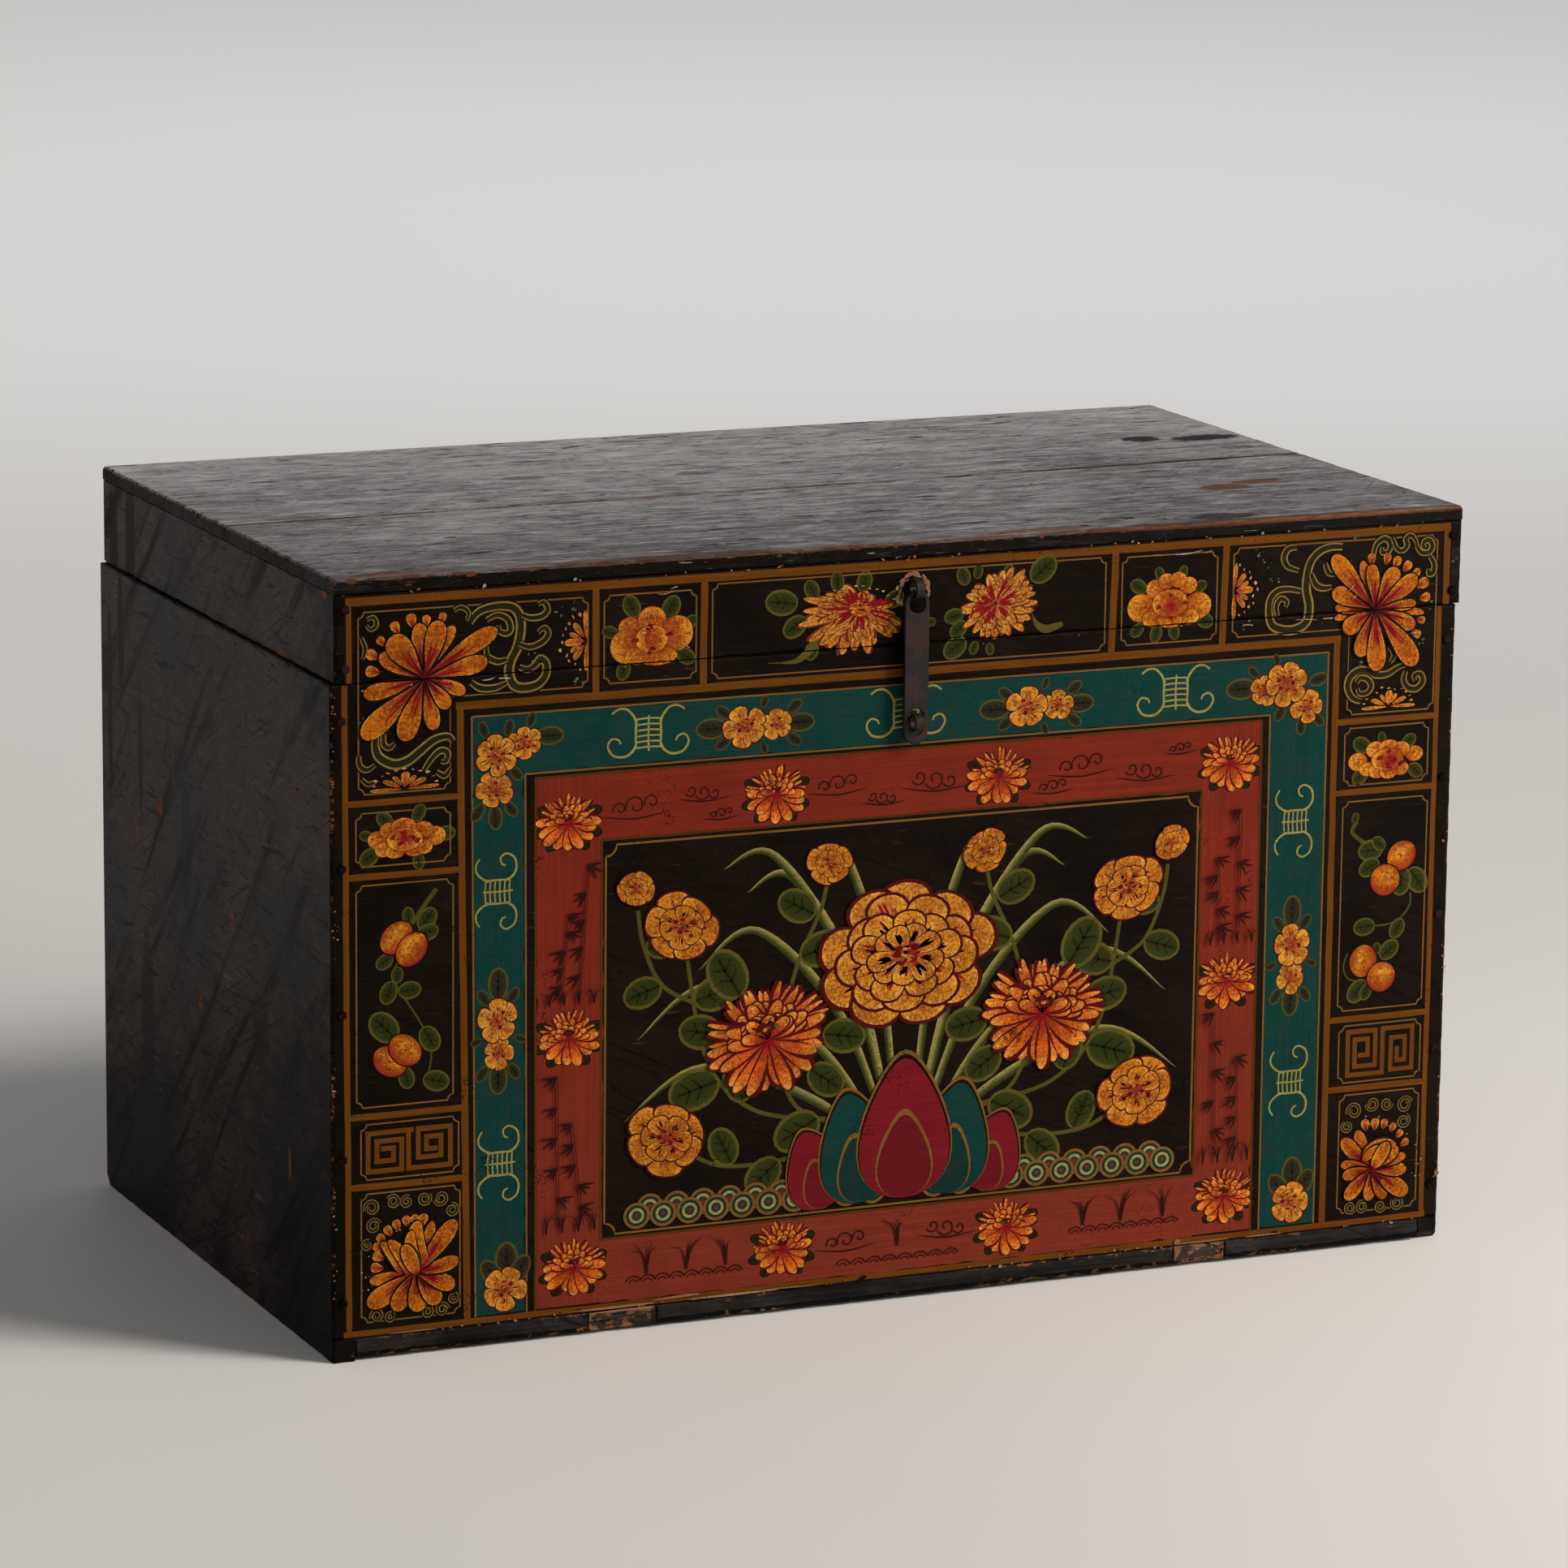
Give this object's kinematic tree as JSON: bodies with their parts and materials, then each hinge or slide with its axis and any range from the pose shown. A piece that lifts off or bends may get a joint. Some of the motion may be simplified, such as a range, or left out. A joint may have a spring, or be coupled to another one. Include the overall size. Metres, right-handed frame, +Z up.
{
  "type": "painted wooden trunk",
  "caption": "Finger-jointed wooden trunk with a hinged lid, a hanging iron hasp over a staple, and a painted front in framed ornamental bands.",
  "frame": {"origin": "middle of the trunk's bounding box on the floor it stands on", "axes": "+X along the length to the right as seen from the front, +Y to the back, +Z up; the painted front faces -Y"},
  "size_m": [0.863, 0.5264, 0.545],
  "materials": {
    "painted_front": "black lacquer ground with painted ornament, satin",
    "lacquered_wood": "dark brown-black lacquer, worn satin",
    "worn_top": "thin worn lacquer over grain, satin",
    "bare_wood": "bare aged softwood",
    "wrought_iron": "forged, dark, dull"
  },
  "bodies": {
    "case": {"back_board_lower": "lacquered_wood", "back_board_upper": "lacquered_wood", "base_repair_left": "lacquered_wood", "base_repair_right": "lacquered_wood", "bottom_board_front": "bare_wood", "bottom_board_middle": "bare_wood", "bottom_board_rear": "bare_wood", "front_board_lower": "painted_front", "front_board_upper": "painted_front", "front_nail_left_1": "wrought_iron", "front_nail_left_2": "wrought_iron", "front_nail_left_3": "wrought_iron", "front_nail_left_4": "wrought_iron", "front_nail_left_5": "wrought_iron", "front_nail_right_1": "wrought_iron", "front_nail_right_2": "wrought_iron", "front_nail_right_3": "wrought_iron", "front_nail_right_4": "wrought_iron", "front_nail_right_5": "wrought_iron", "hasp_staple": "wrought_iron", "hinge_leaf_case_left": "wrought_iron", "hinge_leaf_case_right": "wrought_iron", "hinge_nail_case_left_1": "wrought_iron", "hinge_nail_case_left_2": "wrought_iron", "hinge_nail_case_right_1": "wrought_iron", "hinge_nail_case_right_2": "wrought_iron", "hinge_pin_left": "wrought_iron", "hinge_pin_right": "wrought_iron", "left_board_lower": "lacquered_wood", "left_board_upper": "lacquered_wood", "right_board_lower": "lacquered_wood", "right_board_upper": "lacquered_wood"},
    "lid": {"hasp_eye": "wrought_iron", "hinge_leaf_lid_left": "wrought_iron", "hinge_leaf_lid_right": "wrought_iron", "hinge_nail_lid_left_1": "wrought_iron", "hinge_nail_lid_left_2": "wrought_iron", "hinge_nail_lid_right_1": "wrought_iron", "hinge_nail_lid_right_2": "wrought_iron", "lid_back_rail": "lacquered_wood", "lid_front_rail": "painted_front", "lid_left_rail": "lacquered_wood", "lid_nail_left_1": "wrought_iron", "lid_nail_left_2": "wrought_iron", "lid_nail_right_1": "wrought_iron", "lid_nail_right_2": "wrought_iron", "lid_right_rail": "lacquered_wood", "lid_top_front": "worn_top", "lid_top_rear": "worn_top"},
    "hasp": {"hasp_strap": "wrought_iron"}
  },
  "joints": [
    {"name": "lid_hinge", "type": "hinge", "parent": "case", "child": "lid", "pos_m": [0, 0.2588, 0.4735], "axis": [-1, 0, 0], "range_deg": [0, 100]},
    {"name": "hasp_swing", "type": "hinge", "parent": "lid", "child": "hasp", "pos_m": [-0.003, -0.2542, 0.51135], "axis": [-1, 0, 0], "range_deg": [0, 150]}
  ]
}
